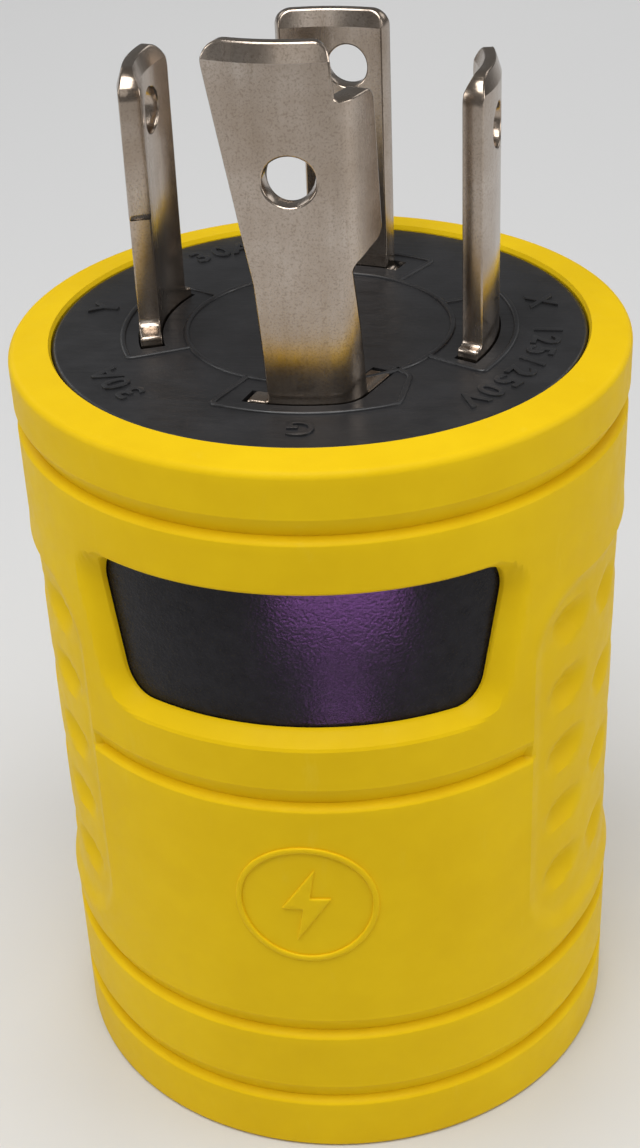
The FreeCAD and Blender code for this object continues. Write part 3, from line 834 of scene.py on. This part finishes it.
def build_face_marks():
    """Terminal letters and the rating, each character with its top toward the rim."""
    words = (("G", -88.5), ("X", 15.7), ("W", 92.0), ("Y", 170.6), ("125/250V", -24.0),
             ("30A", 218.0), ("30A", 124.0))
    work = bmesh.new()
    spacing = math.degrees(mark_pitch / mark_radius)
    for word, azimuth in words:
        for index, character in enumerate(word):
            turn = azimuth + (len(word) - 1 - 2 * index) / 2 * spacing
            mesh = letter_mesh(character, mark_height)
            spot = polar(mark_radius - mark_height / 2, turn)
            mesh.transform(Matrix.Translation((*spot, face_top + 0.03))
                           @ Matrix.Rotation(math.radians(turn - 90), 4, "Z"))
            work.from_mesh(mesh)
            bpy.data.meshes.remove(mesh)
    bmesh.ops.remove_doubles(work, verts=work.verts, dist=0.0005)
    mesh = work_mesh("face_marks", work)
    shade_smooth(mesh)
    mesh.set_sharp_from_angle(angle=math.radians(30))
    return add_piece("face_marks", mesh, "face_black")


build_face_lines()
build_face_marks()


# --- a plain raised emblem on the jacket --------------------------------------------
emblem_height, emblem_rise = 31.0, 0.30
ring_outer, ring_inner, ring_count = 6.6, 6.0, 72


def build_emblem():
    """A lightning bolt in a ring, wrapped onto the jacket below the front groove."""
    bolt = [(0.9, 4.2), (-2.3, -0.5), (-0.35, -0.5), (-1.0, -4.2), (2.3, 0.8), (0.35, 0.8)]
    work = bmesh.new()
    loop = [work.verts.new((x, y, 0)) for x, y in bolt]
    edges = [work.edges.new((a, b)) for a, b in zip(loop, loop[1:] + loop[:1])]
    bmesh.ops.triangle_fill(work, edges=edges, use_beauty=True)
    circle = np.linspace(0, 2 * math.pi, ring_count, endpoint=False)
    outer, inner = ([work.verts.new((radius * math.cos(a), radius * math.sin(a), 0)) for a in circle]
                    for radius in (ring_outer, ring_inner))
    for index in range(ring_count):
        after = (index + 1) % ring_count
        work.faces.new((outer[index], outer[after], inner[after], inner[index]))
    for _ in range(2):
        long_edges = [edge for edge in work.edges if edge.calc_length() > 0.9]
        bmesh.ops.subdivide_edges(work, edges=long_edges, cuts=1, use_grid_fill=False)
        bmesh.ops.triangulate(work, faces=[face for face in work.faces if len(face.verts) > 4])
    bmesh.ops.recalc_face_normals(work, faces=work.faces)
    if sum(face.normal.z for face in work.faces) < 0:
        bmesh.ops.reverse_faces(work, faces=work.faces)
    raised = bmesh.ops.extrude_face_region(work, geom=list(work.faces))["geom"]
    top = [item for item in raised if isinstance(item, bmesh.types.BMVert)]
    bmesh.ops.translate(work, verts=top, vec=(0, 0, emblem_rise))
    for vertex in work.verts:
        x, y, up = vertex.co
        level = emblem_height + y
        radius = float(outer_radius(np.array([0.0]), np.array([level]))[0]) - 0.05 + up
        angle = x / mean_radius + FRONT
        vertex.co = Vector((radius * math.cos(angle), radius * math.sin(angle), level))
    bmesh.ops.recalc_face_normals(work, faces=work.faces)
    piece = add_piece("jacket_emblem", work_mesh("jacket_emblem", work), "jacket_yellow")
    bevel = piece.modifiers.new("soft", "BEVEL")
    bevel.width = 0.14 * MM
    bevel.segments = 2
    bevel.limit_method = "ANGLE"
    bevel.angle_limit = math.radians(50)
    apply_modifiers(piece)
    shade_smooth(piece.data)
    return piece


build_emblem()


# --- stage --------------------------------------------------------------------------
def look_from(piece, place, forward, up):
    forward, up = Vector(forward).normalized(), Vector(up).normalized()
    right = forward.cross(up).normalized()
    up = right.cross(forward)
    turn = Matrix((right, up, -forward)).transposed().to_4x4()
    piece.matrix_world = Matrix.Translation(Vector(place)) @ turn


def soft_light(name, place, target, size, power, colour=(1, 1, 1), size_y=None):
    lamp = bpy.data.lights.new(name, "AREA")
    lamp.shape = "RECTANGLE"
    lamp.size = size
    lamp.size_y = size_y or size
    lamp.energy = power
    lamp.color = colour
    piece = bpy.data.objects.new(name, lamp)
    bpy.context.scene.collection.objects.link(piece)
    look_from(piece, place, Vector(target) - Vector(place), (0, 0.01, 1))
    piece.visible_camera = False
    return piece


def shine_only_on(lamp, pieces):
    group = bpy.data.collections.new(lamp.name + "_receivers")
    for piece in pieces:
        group.objects.link(piece)
    lamp.light_linking.receiver_collection = group


def build_stage():
    material = bpy.data.materials.new("floor_paper")
    material.use_nodes = True
    surface = material.node_tree.nodes["Principled BSDF"]
    surface.inputs["Base Color"].default_value = (0.68, 0.68, 0.68, 1)
    surface.inputs["Roughness"].default_value = 0.85
    mesh = bpy.data.meshes.new("floor")
    half = 3.0
    corners = [(-half, -half, 0), (half, -half, 0), (half, half, 0), (-half, half, 0)]
    mesh.from_pydata(corners, [], [(0, 1, 2, 3)])
    mesh.materials.append(material)
    floor = bpy.data.objects.new("floor", mesh)
    bpy.context.scene.collection.objects.link(floor)

    world = bpy.data.worlds.new("studio")
    world.use_nodes = True
    background = world.node_tree.nodes["Background"]
    background.inputs["Color"].default_value = (1.0, 1.0, 1.0, 1)
    background.inputs["Strength"].default_value = 0.155
    bpy.context.scene.world = world

    soft_light("key", (-0.02, -0.17, 0.57), (0, 0, 0.05), 0.40, 2.55)
    soft_light("front", (0.0, -0.55, 0.35), (0, 0, 0.05), 0.30, 0.16)
    soft_light("left", (-0.50, -0.10, 0.25), (0, 0, 0.06), 0.25, 0.50)
    soft_light("right", (0.50, -0.05, 0.22), (0, 0, 0.06), 0.25, 0.60)
    soft_light("back_left", (-0.55, 0.62, 0.46), (0, 0, 0.08), 0.34, 0.42)
    soft_light("back_right", (0.55, 0.62, 0.46), (0, 0, 0.08), 0.34, 0.42)
    backdrop = soft_light("backdrop", (0.0, 0.62, 0.60), (0, 0.60, 0), 0.40, 1.85)
    shine_only_on(backdrop, [floor])

    # The violet gleam on the black core behind the window.
    core = [frame["nodes"][node] for node in ("core_shell_front", "core_shell_rear")]
    violet, strip_height = (0.58, 0.20, 0.80), 0.003
    for name, place, target, width, power in (
            ("violet_upper", (0.0080, -0.0503, 0.0475), (0.003, -0.026, 0.0620), 0.034, 0.0125),
            ("violet_lower", (0.0078, -0.0500, 0.0335), (0.003, -0.026, 0.0505), 0.015, 0.0022)):
        lamp = soft_light(name, place, target, width, power, violet, strip_height)
        lamp.visible_diffuse = False
        shine_only_on(lamp, core)


def build_camera():
    data = bpy.data.cameras.new("camera")
    data.sensor_width = 36
    data.lens = 61.68
    data.shift_x = -0.0093
    data.clip_start = 0.01
    camera = bpy.data.objects.new("camera", data)
    bpy.context.scene.collection.objects.link(camera)
    look_from(camera, (0.01971, -0.16195, 0.14798),
              (-0.1029, 0.8487, -0.519), (-0.0210, 0.5199, 0.854))
    bpy.context.scene.camera = camera


build_stage()
build_camera()
bpy.context.scene.view_settings.view_transform = "Standard"
